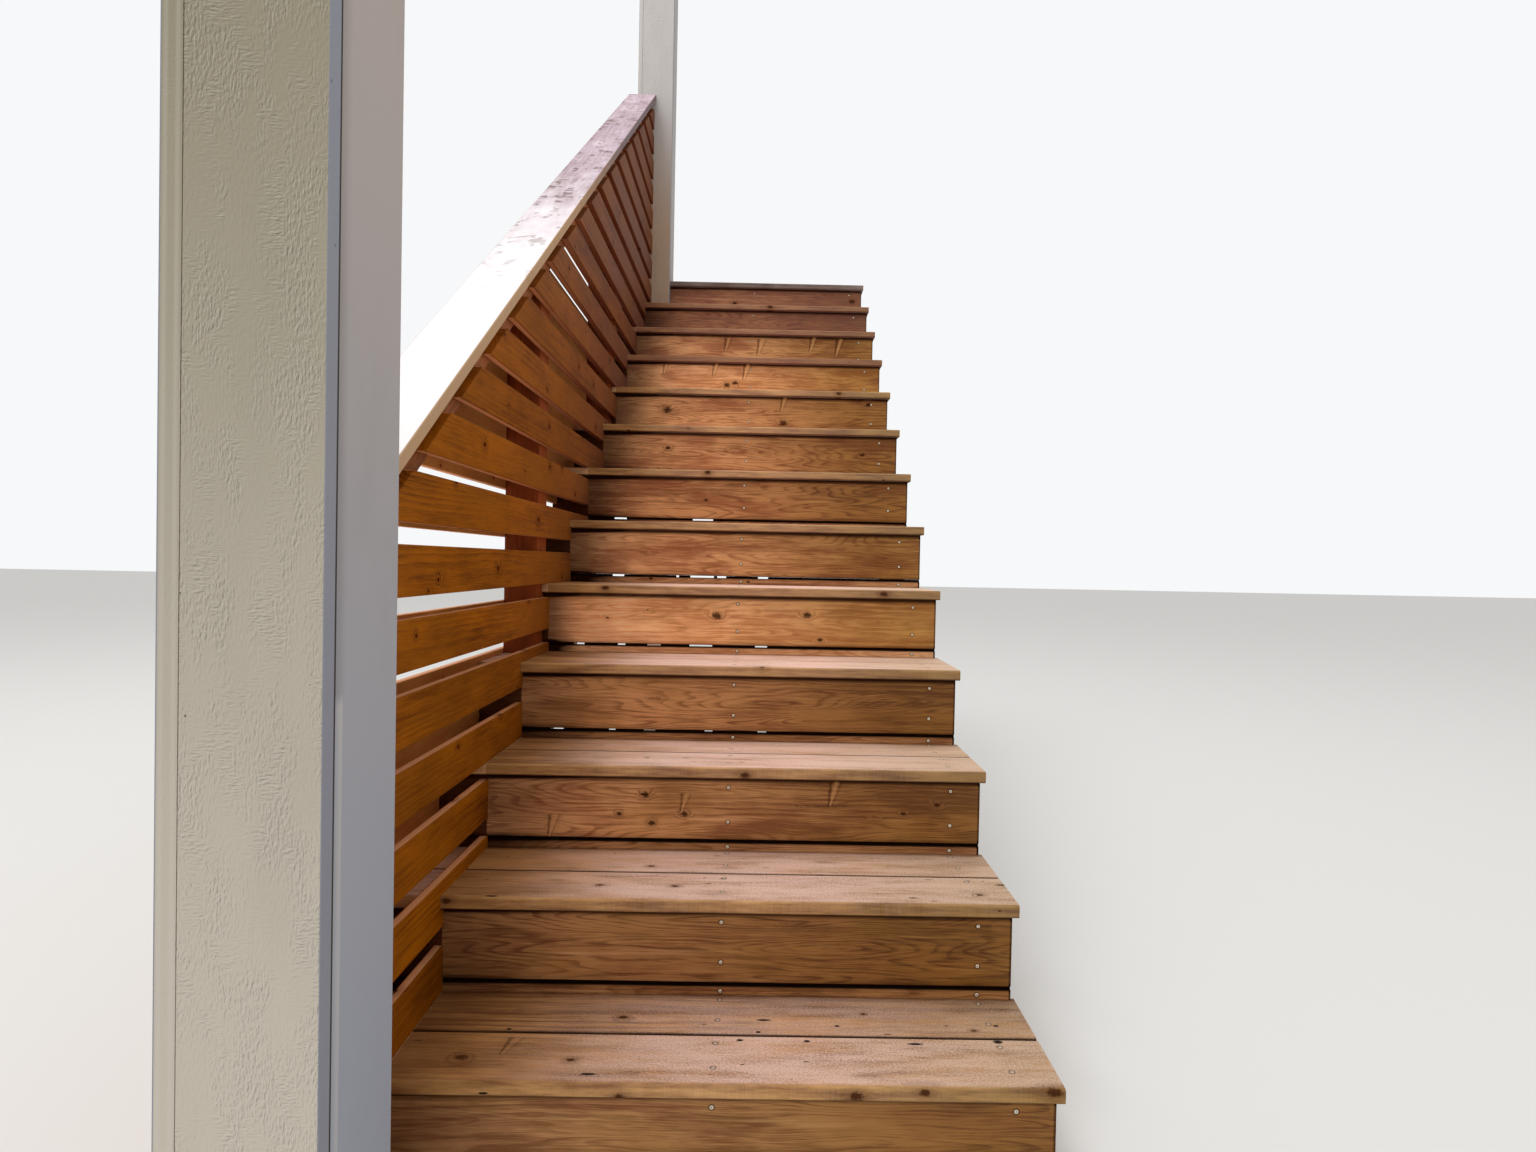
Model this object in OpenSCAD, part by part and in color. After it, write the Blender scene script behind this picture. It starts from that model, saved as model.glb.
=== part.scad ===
// Straight flight of timber deck stairs with closed risers.
// One side has a slatted guard between two cased posts, the other side stands along a wall.
// Millimetres. +Z is up and +Y is the way up the flight.
// The origin is the set-out point: on the ground, at the front of the middle stringer's foot.

/* [Flight] */
// Height of one step, from tread top to tread top
rise = 190.5; // [150:0.5:200]
// Going of one step, from nosing to nosing
run = 254; // [235:1:300]
// Number of treads; the top landing adds one more rise
tread_count = 12; // [4:1:14]
// Length of a tread, across the flight
tread_len = 1219.2; // [900:0.1:1500]
// How far a nosing stands in front of the riser below it
nosing = 18; // [5:1:30]
// How much shorter a riser is than a tread, at the wall end
riser_short = 8; // [0:1:20]

/* [Step boards] */
// Width of a tread or riser board
board_w = 139.7; // [130:0.1:150]
// Thickness of a tread or riser board
board_t = 25.4; // [19:0.1:30]
// Gap between the two boards of a tread
tread_gap = 3.2; // [1:0.1:8]
// Radius of a tread board's eased edges
board_ease = 5; // [1:0.5:6]
// Radius of a riser board's eased edges
riser_ease = 3; // [1:0.5:5]
// Height of the filler strip under a riser board
strip_h = 19; // [10:0.5:30]
// Radius of the filler strip's edges
strip_ease = 1.5; // [0.5:0.5:4]

/* [Stringers] */
// Thickness of a stringer
stringer_t = 38.1; // [30:0.1:50]
// Depth of the stringer plank, square to its length
stringer_w = 285.8; // [235:0.1:300]
// Distance from the left stringer's middle to the middle stringer's
stringer_mid_at = 530; // [400:1:620]
// Distance from the left stringer's middle to the right stringer's
stringer_right_at = 1023; // [850:1:1040]

/* [Landing edge] */
// Thickness of the hanging board that the stringers butt against
hanger_t = 19; // [12:0.5:30]
// Height of the rim joist
rim_h = 285.8; // [235:0.1:300]
// Thickness of the rim joist
rim_t = 38.1; // [30:0.1:50]

/* [Guard] */
// Height of the cap's top above the line of the nosings
guard_h = 963; // [860:1:1070]
// How far the guard's outer face stands beyond the tread ends
guard_out = 4; // [0:0.5:15]
// Width of a slat
slat_w = 88.9; // [60:0.1:95]
// Thickness of a slat
slat_t = 19; // [15:0.1:25]
// Height of the lowest inner slat above the ground
inner_low = 63.5; // [20:0.5:100]
// Distance from the bottom of one inner slat to the bottom of the next
inner_pitch = 127; // [110:0.5:140]
// Height of the lowest outer slat above the ground
outer_low = 29; // [20:0.5:100]
// Distance from the bottom of one outer slat to the bottom of the next
outer_pitch = 131.3; // [110:0.1:140]
// Radius of a slat's eased edges
slat_ease = 2; // [0.5:0.5:4]
// Side of a square guard post
guard_post_w = 88.9; // [80:0.1:100]
// Distance from the first nosing back to the lower guard post
lower_post_at = 970; // [900:1:1010]
// Distance between the lower and the upper guard post, face to same face
guard_bay = 1016; // [900:1:1100]
// Width of the cap rail
cap_w = 139.7; // [130:0.1:160]
// Thickness of the cap rail
cap_t = 25.4; // [19:0.1:38]
// Thickness of the rail under the cap, square to its length
subrail_t = 63.5; // [30:0.1:70]
// How much of the rail under the cap shows above the slats, measured upright
subrail_show = 35; // [10:1:36]
// Radius of the edges of the cap rail and the rail under it
rail_ease = 3; // [1:0.5:6]

/* [Cased posts] */
// Side of a post's square core
core_w = 139.7; // [100:0.1:160]
// Thickness of the foot post's casing boards
foot_casing_t = 25.4; // [15:0.1:30]
// Thickness of the head post's casing boards
head_casing_t = 19; // [15:0.1:30]
// Distance from the guard's inner face in to the posts' middle
post_in = 2; // [-40:1:20]
// Gap in front of the first nosing, back to the foot post
foot_post_gap = 172; // [150:1:400]
// How far the head post stands in front of the top riser
head_post_ahead = 49; // [30:1:80]
// Height of the foot post
foot_post_h = 2440; // [1800:10:3000]
// Height of the head post above the landing
head_post_h = 1800; // [1500:10:2600]
// Width of the open joint between two casing boards
casing_joint = 1.2; // [0.5:0.1:3]

/* [Hidden] */
$fn = 32;
pitch = atan(rise / run);
slope = rise / run;
landing_z = (tread_count + 1) * rise;
tread_d = 2 * board_w + tread_gap;
riser_gap = rise - board_t - board_w - strip_h;
first_nose = -nosing - board_t;
stringer_left_x = -stringer_mid_at;
post_face = stringer_left_x - stringer_t / 2;
guard_t = 2 * slat_t + guard_post_w;
guard_inner = post_face + slat_t;
guard_outer = guard_inner - guard_t;
left_end = guard_outer + guard_out;
right_end = left_end + tread_len;
post_mid = guard_inner + post_in;
foot_w = core_w + 2 * foot_casing_t;
head_w = core_w + 2 * head_casing_t;
top_riser_y = tread_count * run - board_t;
guard_y0 = first_nose - foot_post_gap;
guard_y1 = top_riser_y - head_post_ahead;
head_inner = post_mid + head_w / 2;
stringer_drop = stringer_w / cos(pitch);
cap_rise = cap_t / cos(pitch);
subrail_rise = subrail_t / cos(pitch);
cap_under = guard_h - cap_rise;
fit = 1.5;
far = 10000;
lower_post_y = first_nose + lower_post_at;
guard_posts_y = [guard_y0, lower_post_y, lower_post_y + guard_bay, guard_y1 - guard_post_w];

function two_digits(i) = str(i < 10 ? "0" : "", i);

// Height of the nosing line at a distance y up the flight
function nosing_z(y) = rise + slope * (y - first_nose);

// Height of the stringers' lower edge at a distance y
function stringer_low(y) = rise - board_t + slope * y - stringer_drop;

// Board section with eased edges, in the first quadrant
module eased(w, t, r) {
    translate([r, 0]) square([w - 2 * r, t]);
    translate([0, r]) square([w, t - 2 * r]);
    for (x = [r, w - r], y = [r, t - r]) translate([x, y]) circle(r);
}

// Board that runs across the flight, its section in the YZ plane
module board_across(x0, x1, y, z, d, h, r) {
    translate([x0, y, z]) rotate([90, 0, 90]) linear_extrude(x1 - x0) eased(d, h, r);
}

// What the step boards are notched around
module post_notches() {
    for (y = guard_posts_y) translate([post_face + fit - far, y - fit, 0])
        cube([far, guard_post_w + 2 * fit, far]);
    translate([head_inner + fit - far, guard_y1 - fit, 0]) cube([far, far, far]);
}

module tread(i) {
    y = first_nose + (i - 1) * run;
    color("peru") difference() {
        for (k = [0, 1]) board_across(left_end, right_end, y + k * (board_w + tread_gap),
            i * rise - board_t, board_w, board_t, board_ease);
        post_notches();
    }
}

module riser(i) {
    y = (i - 1) * run - board_t;
    z = (i - 1) * rise;
    color("sienna") difference() {
        union() {
            board_across(left_end, right_end - riser_short, y, z, board_t, strip_h, strip_ease);
            board_across(left_end, right_end - riser_short, y, z + strip_h + riser_gap,
                board_t, board_w, riser_ease);
        }
        post_notches();
    }
}

// Sawtooth plank from the ground to y1
module stringer(x, y1) {
    steps = [for (i = [0:tread_count - 1]) each [
        [i * run, i * rise - (i == 0 ? 0 : board_t)],
        [i * run, (i + 1) * rise - board_t]]];
    foot_end = (stringer_drop - rise + board_t) / slope;
    top_y = tread_count * run;
    color("burlywood") intersection() {
        translate([x - stringer_t / 2, 0, 0]) rotate([90, 0, 90]) linear_extrude(stringer_t)
            polygon(concat(steps, [
                [top_y, tread_count * rise - board_t],
                [top_y, stringer_low(top_y)],
                [foot_end, 0]]));
        translate([x - stringer_t, 0, 0]) cube([2 * stringer_t, y1, far]);
    }
}

module hanger_board() {
    z0 = stringer_low(tread_count * run);
    color("tan") translate([head_inner, tread_count * run, z0])
        cube([right_end - riser_short - head_inner, hanger_t, landing_z - board_t - z0]);
}

module rim_joist() {
    color("burlywood") translate([head_inner, tread_count * run + hanger_t, landing_z - board_t - rim_h])
        cube([right_end - riser_short - head_inner, rim_t, rim_h]);
}

module landing_edge_board() {
    color("peru") board_across(head_inner, right_end, first_nose + tread_count * run, landing_z - board_t,
        board_w, board_t, board_ease);
}

// Everything under a line parallel to the pitch, between two distances
module under_slope(y0, y1, above, x, w) {
    translate([x, 0, 0]) rotate([90, 0, 90]) linear_extrude(w)
        polygon([[y0, 0], [y1, 0], [y1, nosing_z(y1) + above], [y0, nosing_z(y0) + above]]);
}

module guard_post(k) {
    y = guard_posts_y[k];
    z0 = k == 0 ? 0 : stringer_low(y);
    color("saddlebrown") intersection() {
        translate([post_face - guard_post_w, y, z0]) cube([guard_post_w, guard_post_w, far]);
        under_slope(y, y + guard_post_w, cap_under - subrail_rise, post_face - guard_post_w, guard_post_w);
    }
}

// Side view of the space that the slats fill: above the steps and under the rail
module slat_field() {
    steps = [for (i = [0:tread_count - 1]) each [
        [i * run - board_t, i * rise],
        [i * run - board_t, (i + 1) * rise - board_t],
        [i * run + first_nose, (i + 1) * rise - board_t],
        [i * run + first_nose, (i + 1) * rise]]];
    above = cap_under - subrail_show;
    polygon(concat([[guard_y0, 0]], steps, [
        [guard_y1, tread_count * rise],
        [guard_y1, nosing_z(guard_y1) + above],
        [guard_y0, nosing_z(guard_y0) + above]]));
}

// Level slats one above another, the lowest one's bottom at height low
module slats(x, low, step) {
    last = floor((nosing_z(guard_y1) + guard_h - low) / step);
    color("chocolate") intersection() {
        for (k = [0:last]) translate([x, guard_y0, low + k * step])
            rotate([90, 0, 0]) mirror([0, 0, 1]) linear_extrude(guard_y1 - guard_y0)
                eased(slat_t, slat_w, slat_ease);
        translate([x, 0, 0]) rotate([90, 0, 90]) linear_extrude(slat_t) slat_field();
    }
}

// Rail along the pitch, its top a height above the nosing line, its ends cut upright
module sloped_rail(x, w, t, above, r) {
    length = (guard_y1 - guard_y0) / cos(pitch) + 2 * t;
    intersection() {
        translate([x, guard_y0, nosing_z(guard_y0) + above]) rotate([pitch, 0, 0])
            translate([0, -t, -t]) rotate([90, 0, 0]) mirror([0, 0, 1])
                linear_extrude(length) eased(w, t, r);
        translate([x - 1, guard_y0, 0]) cube([w + 2, guard_y1 - guard_y0, far]);
    }
}

module guard_subrail() {
    color("saddlebrown") sloped_rail(post_face - guard_post_w, guard_post_w, subrail_t,
        cap_under, rail_ease);
}

module guard_cap_rail() {
    color("rosybrown") sloped_rail(guard_inner - guard_t / 2 - cap_w / 2, cap_w, cap_t,
        guard_h, rail_ease);
}

module core(y_mid, h) {
    color("burlywood") translate([post_mid - core_w / 2, y_mid - core_w / 2, 0]) cube([core_w, core_w, h]);
}

// Four boards set in turn around the core, each covering the next one's edge
module casing(y_mid, h, t) {
    b = core_w + t - casing_joint;
    color("gainsboro") translate([post_mid, y_mid, 0]) for (a = [0:90:270]) rotate([0, 0, a])
        translate([core_w / 2 + t - b, -core_w / 2 - t, 0]) cube([b, t, h]);
}

foot_y = guard_y0 - foot_w / 2;
head_y = guard_y1 + head_w / 2;

for (i = [1:tread_count]) tread(i);
for (i = [1:tread_count + 1]) riser(i);
stringer(stringer_left_x, guard_y1);  // stringer_left
stringer(0, far);  // stringer_middle
stringer(stringer_left_x + stringer_right_at, far);  // stringer_right
hanger_board();
rim_joist();
landing_edge_board();
guard_post(0);  // guard_post_foot
guard_post(1);  // guard_post_lower
guard_post(2);  // guard_post_upper
guard_post(3);  // guard_post_head
slats(guard_inner - slat_t, inner_low, inner_pitch);  // guard_inner_slats
slats(guard_outer, outer_low, outer_pitch);  // guard_outer_slats
guard_subrail();
guard_cap_rail();
core(foot_y, foot_post_h);  // foot_post_core
casing(foot_y, foot_post_h, foot_casing_t);  // foot_post_casing
core(head_y, landing_z + head_post_h);  // head_post_core
casing(head_y, landing_z + head_post_h, head_casing_t);  // head_post_casing
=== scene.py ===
"""Finish of the wooden deck stairs: stained softwood with painted light and shade, painted casings, screws,
and near-black litter that also stands in for the shade in the gaps.
"""
import math
from types import SimpleNamespace
import bmesh
import bpy
from mathutils import Matrix, Vector, noise


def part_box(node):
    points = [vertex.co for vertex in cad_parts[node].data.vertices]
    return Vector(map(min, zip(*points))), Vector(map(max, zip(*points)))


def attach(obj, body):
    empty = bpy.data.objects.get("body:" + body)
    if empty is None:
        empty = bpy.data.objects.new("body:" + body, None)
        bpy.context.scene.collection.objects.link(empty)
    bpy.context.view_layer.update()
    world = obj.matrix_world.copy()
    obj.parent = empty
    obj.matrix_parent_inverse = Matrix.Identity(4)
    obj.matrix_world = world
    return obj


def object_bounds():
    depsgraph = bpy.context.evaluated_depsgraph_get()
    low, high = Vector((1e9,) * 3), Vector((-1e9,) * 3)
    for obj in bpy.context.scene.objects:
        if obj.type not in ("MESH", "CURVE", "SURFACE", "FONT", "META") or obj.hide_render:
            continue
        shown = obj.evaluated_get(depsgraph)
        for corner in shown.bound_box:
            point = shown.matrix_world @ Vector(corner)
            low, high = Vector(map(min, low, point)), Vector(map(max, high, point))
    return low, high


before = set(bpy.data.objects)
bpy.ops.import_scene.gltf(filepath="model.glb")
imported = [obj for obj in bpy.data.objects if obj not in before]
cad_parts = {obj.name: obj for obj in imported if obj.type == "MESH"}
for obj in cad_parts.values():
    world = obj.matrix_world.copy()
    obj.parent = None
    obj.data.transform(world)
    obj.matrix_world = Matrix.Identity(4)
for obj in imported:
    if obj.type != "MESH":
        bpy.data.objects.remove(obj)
cad_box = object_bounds()

# Sizes in metres, read off the frame where it holds them
MM = 0.001
tread_low, tread_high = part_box("tread_01")
riser_low, riser_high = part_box("riser_01")
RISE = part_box("tread_02")[1][2] - tread_high[2]
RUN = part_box("tread_02")[0][1] - tread_low[1]
TREADS = sum(name.startswith("tread_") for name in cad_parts)
TREAD_GAP = 0.0032
BOARD_W = (tread_high[1] - tread_low[1] - TREAD_GAP) / 2
STRIP_H = 0.019
RISER_GAP = 0.006
INNER_LOW, INNER_PITCH = 0.0635, 0.127
OUTER_LOW, OUTER_PITCH = 0.029, 0.1313
SLAT_W = 0.0889
# Screw rows: from a tread board's front edge, and down from a riser's top
TREAD_INSETS = 0.045, 0.115
RISER_INSETS = 0.023, 0.1
GUARD_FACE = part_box("guard_inner_slats")[1][0]
# The stringers that the screws go into, by the middle of their thickness
SCREWED = [sum(corner[0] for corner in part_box(f"stringer_{side}")) / 2 for side in ("middle", "right")]
PITCH = math.atan(RISE / RUN)
# A tint that changes nothing
WHITE = (1.0, 1.0, 1.0, 1.0)


def tread_corner(step):
    """The front and the top of a tread, counted from 1."""
    return tread_low[1] + (step - 1) * RUN, tread_high[2] + (step - 1) * RISE


def riser_corner(step):
    """The face, the foot and the top of a riser, counted from 1."""
    up = (step - 1) * RISE
    return riser_low[1] + (step - 1) * RUN, riser_low[2] + up, riser_high[2] + up


def srgb(red, green, blue):
    """A colour as it looks on screen, 0 to 255, as linear light."""
    def linear(value):
        value /= 255
        return value / 12.92 if value <= 0.04045 else ((value + 0.055) / 1.055) ** 2.4
    return linear(red), linear(green), linear(blue), 1.0


def lighter(colour, factor):
    return tuple(min(1.0, value * factor) for value in colour[:3]) + (1.0,)


def between(first, second, share):
    return tuple(a + (b - a) * share for a, b in zip(first, second))


# Node graphs, written as sums

class Term:
    """A socket in a material's node tree that can be added, multiplied and so on."""

    def __init__(self, tree, socket):
        self.tree = tree
        self.socket = socket

    def calc(self, operation, *others, clamp=False):
        node = self.tree.nodes.new("ShaderNodeMath")
        node.operation = operation
        node.use_clamp = clamp
        for slot, value in zip(node.inputs, (self, *others)):
            plug(self.tree, slot, value)
        return Term(self.tree, node.outputs[0])

    def __add__(self, other):
        return self.calc("ADD", other)

    def __sub__(self, other):
        return self.calc("SUBTRACT", other)

    def __mul__(self, other):
        return self.calc("MULTIPLY", other)

    def __truediv__(self, other):
        return self.calc("DIVIDE", other)

    def root(self):
        return self.calc("SQRT")

    def size(self):
        return self.calc("ABSOLUTE")

    def above(self, edge):
        return self.calc("GREATER_THAN", edge)

    def below(self, edge):
        return self.calc("LESS_THAN", edge)

    def floor(self):
        return self.calc("FLOOR")

    def fraction(self):
        return self.calc("FRACT")

    def clamped(self):
        return self.calc("ADD", 0.0, clamp=True)

    def ramp(self, low, high, to_low=0.0, to_high=1.0):
        """Smooth step from to_low at low to to_high at high."""
        node = self.tree.nodes.new("ShaderNodeMapRange")
        node.interpolation_type = "SMOOTHSTEP"
        for slot, value in zip(node.inputs, (self, low, high, to_low, to_high)):
            plug(self.tree, slot, value)
        return Term(self.tree, node.outputs[0])

    def fade(self, low, high):
        """1 up to low, falling to 0 at high."""
        return self.ramp(low, high, 1.0, 0.0)


def plug(tree, slot, value):
    if isinstance(value, Term):
        tree.links.new(value.socket, slot)
    else:
        slot.default_value = value


def joined(tree, x, y, z=0.0):
    node = tree.nodes.new("ShaderNodeCombineXYZ")
    for slot, value in zip(node.inputs, (x, y, z)):
        plug(tree, slot, value)
    return Term(tree, node.outputs[0])


def parts_of(tree, vector):
    node = tree.nodes.new("ShaderNodeSeparateXYZ")
    plug(tree, node.inputs[0], vector)
    return [Term(tree, output) for output in node.outputs]


def clouds(tree, x, y, z=0.0, detail=2.0, rough=0.5, warp=0.0):
    """Soft noise about 0.5, one blob per unit."""
    node = tree.nodes.new("ShaderNodeTexNoise")
    plug(tree, node.inputs["Vector"], joined(tree, x, y, z))
    node.inputs["Scale"].default_value = 1.0
    node.inputs["Detail"].default_value = detail
    node.inputs["Roughness"].default_value = rough
    node.inputs["Distortion"].default_value = warp
    return Term(tree, node.outputs["Fac"])


def dice(tree, number):
    """Three random numbers that go with a number."""
    node = tree.nodes.new("ShaderNodeTexWhiteNoise")
    node.noise_dimensions = "1D"
    plug(tree, node.inputs["W"], number)
    return parts_of(tree, Term(tree, node.outputs["Color"]))


def scattered(tree, spot, per_along, per_across):
    """Points strewn over a board: how far off the nearest is both ways, and two random numbers for it."""
    node = tree.nodes.new("ShaderNodeTexVoronoi")
    node.voronoi_dimensions = "2D"
    node.inputs["Scale"].default_value = 1.0
    along, across = spot.along * per_along, (spot.across - spot.through) * per_across + spot.number * 3.7
    plug(tree, node.inputs["Vector"], joined(tree, along, across))
    at_along, at_across, _ = parts_of(tree, Term(tree, node.outputs["Position"]))
    first, _, second = parts_of(tree, Term(tree, node.outputs["Color"]))
    return (along - at_along) / per_along, (across - at_across) / per_across, first, second


def mix(tree, share, first, second):
    node = tree.nodes.new("ShaderNodeMix")
    node.data_type = "RGBA"
    for slot, value in zip((node.inputs[0], node.inputs[6], node.inputs[7]), (share, first, second)):
        plug(tree, slot, value)
    return Term(tree, node.outputs[2])


def tinted(tree, colour, tint):
    """A colour times a tint, in which 1 leaves a channel as it is."""
    node = tree.nodes.new("ShaderNodeMix")
    node.data_type = "RGBA"
    node.blend_type = "MULTIPLY"
    for slot, value in zip((node.inputs[0], node.inputs[6], node.inputs[7]), (1.0, colour, tint)):
        plug(tree, slot, value)
    return Term(tree, node.outputs[2])


def new_material(name):
    material = bpy.data.materials.new(name)
    material.use_nodes = True
    tree = material.node_tree
    where = Term(tree, tree.nodes.new("ShaderNodeTexCoord").outputs["Object"])
    return material, tree, tree.nodes["Principled BSDF"], parts_of(tree, where)


def bump(tree, shader, height, distance):
    node = tree.nodes.new("ShaderNodeBump")
    node.inputs["Distance"].default_value = distance
    plug(tree, node.inputs["Height"], height)
    tree.links.new(node.outputs[0], shader.inputs["Normal"])


# Wood

def knots(tree, spot, chance):
    """Round knots strewn at random: how deep in one a point is, and how near."""
    off_along, off_across, here, big = scattered(tree, spot, 3.2, 9.0)
    wobble = clouds(tree, off_along * 90.0, off_across * 90.0, spot.number, 3.0, 0.7) * 1.8 - 0.45
    off = (off_along * off_along * 0.6 + off_across * off_across).root() / (big * 0.005 + 0.003) + wobble
    present = here.below(chance)
    return present * off.fade(0.9, 1.5), present * off.fade(1.2, 4.5)


# Half length and half width of each kind of flaw, for a size of 1
FLAW_SHAPES = {"knot": (1.3, 0.85), "smear": (2.2, 0.6), "spike": (0.5, 1.0),
               "dent": (1.0, 0.24), "chip": (0.95, 0.6), "line": (1.0, 0.012)}
# How dark each kind that marks the surface is, and how far it strays from a straight line
MARKS = {"dent": (1.0, 0.0), "chip": (1.0, 0.0), "line": (0.6, 8.0)}


def flaws(tree, spot, level, places):
    """Known flaws at places, (kind, x, level, size) in mm.

    How deep a point is in a knot, how near to one, how deep in a mark and how far on a spike's pale side.
    """
    wobble = clouds(tree, spot.x * 170.0, level * 170.0, spot.number, 3.0, 0.7) * 2.2 - 1.1
    knot = near = mark = pale = spot.x * 0.0
    for kind, x, height, size in places:
        long, wide = (size * MM * share for share in FLAW_SHAPES[kind])
        off_x, off_up = (spot.x - x * MM) / long, (level - height * MM) / wide
        if kind == "spike":
            # A branch cut along its length: a wedge, dark on both sides and pale between
            off_x = (off_x - off_up * 0.5) / (off_up * 0.4 + 0.7) + wobble * 0.5
            inside = off_x.size().fade(0.8, 1.2) * off_up.size().fade(0.85, 1.1)
            dark_sides = off_x.ramp(0.5, 0.9) * 0.6 + off_x.fade(-0.8, -0.2)
            knot = knot.calc("MAXIMUM", dark_sides * inside * 0.75)
            pale = pale.calc("MAXIMUM", (off_x - 0.1).size().fade(0.1, 0.6) * inside * (wobble * 0.5 + 0.8))
            near = near.calc("MAXIMUM", off_x.size().fade(0.9, 2.6) * off_up.size().fade(0.9, 1.3) * 0.25)
        elif kind in MARKS:
            strength, stray = MARKS[kind]
            off_up = off_up + wobble * stray
            off = (off_x * off_x + off_up * off_up).root() + wobble * 0.2
            mark = mark.calc("MAXIMUM", off.fade(0.6, 1.3) * strength)
        else:
            off = (off_x * off_x + off_up * off_up).root() + wobble * 0.9
            if kind == "knot":
                knot = knot.calc("MAXIMUM", off.fade(0.5, 1.4))
                near = near.calc("MAXIMUM", off.fade(0.9, 3.5))
            else:
                near = near.calc("MAXIMUM", off.fade(0.2, 1.6) * 0.8)
    return knot, near, mark, pale


def growth_rings(tree, spot, ring, halo):
    """Flat-sawn figure: rings round a pith under the board, cut a little off its line."""
    sway = clouds(tree, spot.along * 1.1, spot.number * 3.1) - 0.5
    bend = clouds(tree, spot.along * 2.6, spot.across * 14.0, spot.number, 3.0) - 0.5
    pith = spot.across - spot.second * 0.12 + sway * 0.03
    depth = spot.through + spot.third * 0.05 + 0.03 + sway * 0.02 + bend * 0.008
    radius = (pith * pith + depth * depth).root() + halo * halo * 0.012
    jitter = clouds(tree, spot.along * 4.0, spot.across * 70.0, spot.through * 70.0)
    rings = (radius * ring + jitter * 0.9 + spot.third * 5.0).fraction()
    return rings.ramp(0.2, 0.85) - rings.ramp(0.88, 1.0)


def veins(tree, along, level, number):
    """Thin dark lines that wander along a board and close round its swells."""
    swell = clouds(tree, along * 1.3, level * 13.0, number * 2.9, 2.0, 0.35)
    lines = (swell * 30.0).fraction()
    return lines.ramp(0.45, 0.85) - lines.ramp(0.9, 1.0)


def look(light, dark, knot, **changes):
    """How a kind of board looks: its colours, and how strongly each feature shows.

    ring is growth rings to the metre, and relief the bump's height in metres.
    """
    return {"light": light, "dark": dark, "knot": knot,
            "figure": 0.25, "blotch": 1.2, "streak": 1.0, "fibre": 0.8, "patch": 0.8, "vein": 0.0,
            "knots": 0.3, "halo": 2.0, "pale": 0.6, "vary": 0.3, "ring": 220.0,
            "rough": 0.6, "gloss": 0.2, "relief": 0.0009} | changes


def grain(tree, spot, look, knot, halo):
    """The bare wood: its colour between the look's light and dark, its roughness, gloss and height."""
    wave = (clouds(tree, spot.along * 3.5, spot.across * 9.0, spot.number) - 0.5) * 0.03
    level = spot.across + wave
    fibre = clouds(tree, spot.along * 14.0, level * 480.0, spot.through * 480.0, 2.0, 0.6)
    streak = clouds(tree, spot.along * 2.4, level * 130.0, spot.through * 130.0, 3.0, 0.65)
    turned = spot.across * 16.0 + spot.through * 9.0
    blotch = clouds(tree, spot.along * 6.0, turned, spot.number * 1.7, 4.0, 0.62)
    patch = clouds(tree, spot.along * 1.7, spot.across * 5.0, spot.number * 2.3, 2.0)
    late = growth_rings(tree, spot, look["ring"], halo)
    figure = (patch.ramp(0.3, 0.7) + halo * look["halo"]) * look["figure"]
    share = (blotch - 0.5) * look["blotch"] + (streak - 0.5) * look["streak"]
    share = share + (fibre - 0.5) * look["fibre"] + (late - 0.4) * figure
    share = share + (patch - 0.5) * look["patch"] + (spot.second - 0.5) * look["vary"] + 0.45
    if look["vein"]:
        shown = (patch.fade(0.4, 0.7) + 0.35) * look["vein"]
        share = share + (veins(tree, spot.along, level, spot.number) - 0.3) * shown
    return SimpleNamespace(colour=mix(tree, share.clamped(), look["light"], look["dark"]),
                           rough=fibre * 0.25 + (look["rough"] - 0.12), gloss=look["gloss"],
                           height=fibre * 0.5 + late * 0.25 + streak * 0.35 - knot * 0.2)


def wood(name, look, lay, finish=None, places=(), level_of=None):
    """Flat-sawn softwood in a look.

    lay turns x, y and z into the distance along the grain, across the board and through it, and the
    board's number. finish adds wear, dirt, painted light and painted shade. places are the known
    flaws, and level_of turns x, y and z into the level that they are given at.
    """
    material, tree, shader, (x, y, z) = new_material(name)
    along, across, through, number = lay(x, y, z)
    first, second, third = dice(tree, number)
    spot = SimpleNamespace(x=x, y=y, z=z, along=along + first * 9.0, across=across, through=through,
                           number=number, second=second, third=third)
    knot = halo = along * 0.0
    if look["knots"]:
        knot, halo = knots(tree, spot, look["knots"])
    if places:
        deep, near, mark, pale = flaws(tree, spot, level_of(x, y, z), places)
        knot, halo = knot.calc("MAXIMUM", deep), halo.calc("MAXIMUM", near)
    face = grain(tree, spot, look, knot, halo)
    if finish is not None:
        finish(tree, spot, face)
    if places or look["knots"]:
        face.colour = mix(tree, halo * 0.4, face.colour, look["dark"])
        cover_matt(tree, face, knot * 0.9, look["knot"])
    if places:
        face.colour = mix(tree, pale * look["pale"], face.colour, lighter(look["light"], 1.3))
        face.colour = mix(tree, mark.clamped(), face.colour, BLACK_BROWN)
        face.height = face.height - mark
    plug(tree, shader.inputs["Base Color"], face.colour)
    plug(tree, shader.inputs["Roughness"], face.rough)
    plug(tree, shader.inputs["Specular IOR Level"], face.gloss)
    bump(tree, shader, face.height, look["relief"])
    return material


def cover_matt(tree, face, share, colour):
    """Covers the wood with a colour and takes its gloss away: for knots, dirt and painted shade."""
    share = share.clamped()
    face.colour = mix(tree, share, face.colour, colour)
    face.gloss = (share * -1.0 + 1.0) * face.gloss


def dress(node, material):
    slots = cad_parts[node].data.materials
    slots.clear()
    slots.append(material)


# How the grain lies in each kind of board. A seed numbers the board, or the lowest slat

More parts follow.
